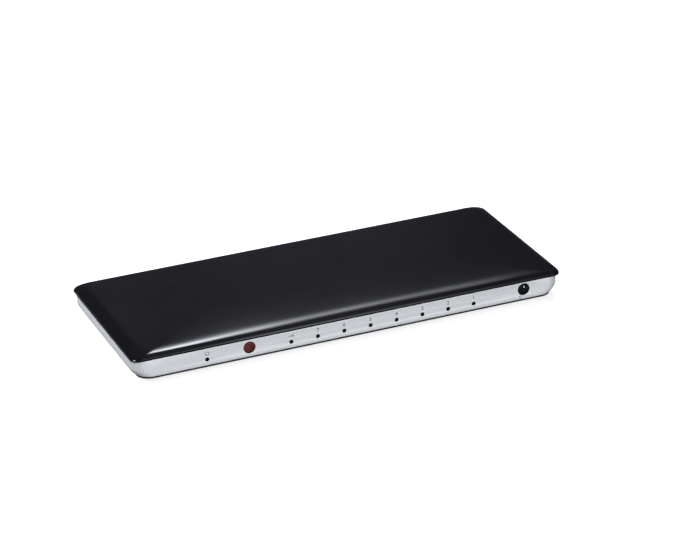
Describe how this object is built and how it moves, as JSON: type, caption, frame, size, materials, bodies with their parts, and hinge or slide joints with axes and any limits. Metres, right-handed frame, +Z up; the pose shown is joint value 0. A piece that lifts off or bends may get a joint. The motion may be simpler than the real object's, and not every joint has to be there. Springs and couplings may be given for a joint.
{
  "type": "hdmi switch box",
  "caption": "Slim gloss-black HDMI switch box with a silver side band, front indicator lamps, remote window and select button, and a rear row of HDMI sockets with a DC jack.",
  "frame": {"origin": "centre of the bottom, on the plane of the rubber feet", "axes": "+X along the length to the right seen from the front, +Y to the rear panel with the sockets, +Z up"},
  "size_m": [0.2286, 0.0961, 0.0159],
  "materials": {
    "gloss_black_plastic": "high-gloss moulded black ABS",
    "silver_band": "ABS sprayed with fine silver paint",
    "black_steel": "black powder coat",
    "foot_rubber": "matt",
    "black_screw": "black zinc",
    "bright_steel": "bright plated",
    "circuit_board": "solder mask over glass laminate",
    "gold_shell": "flash-gold plated steel sheet",
    "connector_plastic": "moulded black liquid-crystal polymer",
    "gold_contact": "gold plated",
    "red_filter": "dark red infrared filter plastic",
    "lamp_resin": "clear epoxy on white body",
    "chip_resin": "moulded epoxy",
    "ferrite": "ferrite",
    "can_aluminium": "drawn can"
  },
  "bodies": {
    "case": {"top_cover": "gloss_black_plastic", "side_band": "silver_band", "bottom_cover": "black_steel", "rubber_feet": "foot_rubber", "case_screws": "black_screw", "board_screws": "bright_steel", "main_board": "circuit_board", "hdmi_shell_in_1": "gold_shell", "hdmi_shell_in_2": "gold_shell", "hdmi_shell_in_3": "gold_shell", "hdmi_shell_in_4": "gold_shell", "hdmi_shell_in_5": "gold_shell", "hdmi_shell_in_6": "gold_shell", "hdmi_shell_in_7": "gold_shell", "hdmi_shell_out": "gold_shell", "hdmi_insert_in_1": "connector_plastic", "hdmi_insert_in_2": "connector_plastic", "hdmi_insert_in_3": "connector_plastic", "hdmi_insert_in_4": "connector_plastic", "hdmi_insert_in_5": "connector_plastic", "hdmi_insert_in_6": "connector_plastic", "hdmi_insert_in_7": "connector_plastic", "hdmi_insert_out": "connector_plastic", "hdmi_contacts": "gold_contact", "dc_jack_body": "connector_plastic", "dc_jack_pin": "bright_steel", "dc_jack_spring": "gold_contact", "switch_housing": "connector_plastic", "switch_dome": "bright_steel", "ir_window": "red_filter", "ir_receiver": "connector_plastic", "ir_receiver_pins": "bright_steel", "led_power": "lamp_resin", "led_in_1": "lamp_resin", "led_in_2": "lamp_resin", "led_in_3": "lamp_resin", "led_in_4": "lamp_resin", "led_in_5": "lamp_resin", "led_in_6": "lamp_resin", "led_in_7": "lamp_resin", "led_out": "lamp_resin", "switch_ic_a": "chip_resin", "switch_ic_b": "chip_resin", "redriver_ic": "chip_resin", "controller_ic": "chip_resin", "memory_ic": "chip_resin", "regulator_ic": "chip_resin", "power_inductor": "ferrite", "filter_capacitors": "can_aluminium", "clock_crystal": "bright_steel"},
    "button": {"select_button": "gloss_black_plastic", "switch_plunger": "connector_plastic"}
  },
  "joints": [
    {"name": "select_press", "type": "slide", "parent": "case", "child": "button", "axis": [0, 1, 0], "range_m": [0, 0.0004], "stiffness_N_per_m": 4000, "springref_m": -0.0002}
  ]
}
